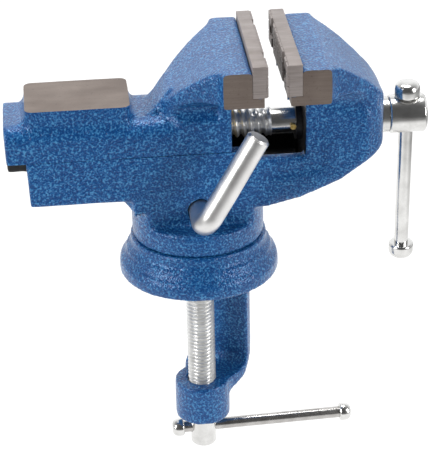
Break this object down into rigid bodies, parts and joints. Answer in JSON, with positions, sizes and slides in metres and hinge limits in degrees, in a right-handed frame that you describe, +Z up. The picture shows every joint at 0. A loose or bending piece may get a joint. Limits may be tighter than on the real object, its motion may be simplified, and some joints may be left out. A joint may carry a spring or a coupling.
{
  "type": "bench vise",
  "caption": "Small bench vise with sliding jaw, anvil, swivel base locked by a bent lever, and a C-shaped screw clamp under the base.",
  "frame": {"origin": "on the swivel axis, on the underside of the base flange, which rests on the bench", "axes": "+X along the lead screw towards its handle, +Y along the jaws away from the lock lever, +Z up"},
  "size_m": [0.1736, 0.0717, 0.1908],
  "materials": {
    "hammertone_blue": "blue hammertone enamel on cast iron; bare machined iron on the anvil and the jaw ends",
    "jaw_steel": "ground tool steel, chequered gripping face",
    "black_steel": "black oxide steel",
    "brass": "plain turned brass",
    "zinc_plate": "bright zinc or nickel plate"
  },
  "bodies": {
    "table_clamp": {"clamp_frame": "hammertone_blue"},
    "clamp_pad": {"pressure_pad": "zinc_plate"},
    "clamp_spindle": {"clamp_screw": "zinc_plate"},
    "clamp_tommy_bar": {"clamp_bar": "zinc_plate", "clamp_bar_cap_left": "zinc_plate", "clamp_bar_cap_right": "zinc_plate"},
    "swivel_body": {"vise_body": "hammertone_blue", "fixed_jaw_plate": "jaw_steel", "fixed_jaw_screws": "black_steel", "lock_shoe": "brass"},
    "sliding_jaw": {"moving_jaw": "hammertone_blue", "moving_jaw_plate": "jaw_steel", "moving_jaw_screws": "black_steel", "lead_nut": "brass", "nut_set_screw": "black_steel"},
    "spindle": {"lead_screw": "zinc_plate", "thrust_collar": "zinc_plate", "retaining_washer": "zinc_plate", "retaining_pin": "brass"},
    "handle": {"handle_bar": "zinc_plate", "handle_cap_top": "zinc_plate", "handle_cap_bottom": "zinc_plate"},
    "lever": {"lock_lever": "zinc_plate"}
  },
  "joints": [
    {"name": "swivel", "type": "hinge", "parent": "table_clamp", "child": "swivel_body", "pos_m": [0, 0, 0.02], "axis": [0, 0, 1], "continuous": true},
    {"name": "lock_turn", "type": "hinge", "parent": "swivel_body", "child": "lever", "pos_m": [0, -0.0173, 0.0333], "axis": [0, 1, 0], "range_deg": [-100, 35]},
    {"name": "spindle_turn", "type": "hinge", "parent": "swivel_body", "child": "spindle", "pos_m": [0.06, 0, 0.0643], "axis": [1, 0, 0], "range_deg": [-842, 5402]},
    {"name": "jaw_slide", "type": "slide", "parent": "swivel_body", "child": "sliding_jaw", "axis": [-1, 0, 0], "range_m": [-0.007, 0.045]},
    {"name": "handle_slide", "type": "slide", "parent": "spindle", "child": "handle", "axis": [0, -0.0872, 0.9962], "range_m": [0, 0.0548]},
    {"name": "clamp_feed", "type": "slide", "parent": "table_clamp", "child": "clamp_pad", "axis": [0, 0, -1], "range_m": [0, 0.042]},
    {"name": "clamp_turn", "type": "hinge", "parent": "clamp_pad", "child": "clamp_spindle", "pos_m": [0, 0, -0.04], "axis": [0, 0, -1], "range_deg": [-2, 8642]},
    {"name": "bar_slide", "type": "slide", "parent": "clamp_spindle", "child": "clamp_tommy_bar", "axis": [-0.9988, -0.0489, 0], "range_m": [-0.0025, 0.055]}
  ],
  "couplings": [
    {"joint": "spindle_turn", "follows": "jaw_slide", "rad_per_m": 2094.4},
    {"joint": "clamp_turn", "follows": "clamp_feed", "rad_per_m": 3590.4}
  ]
}
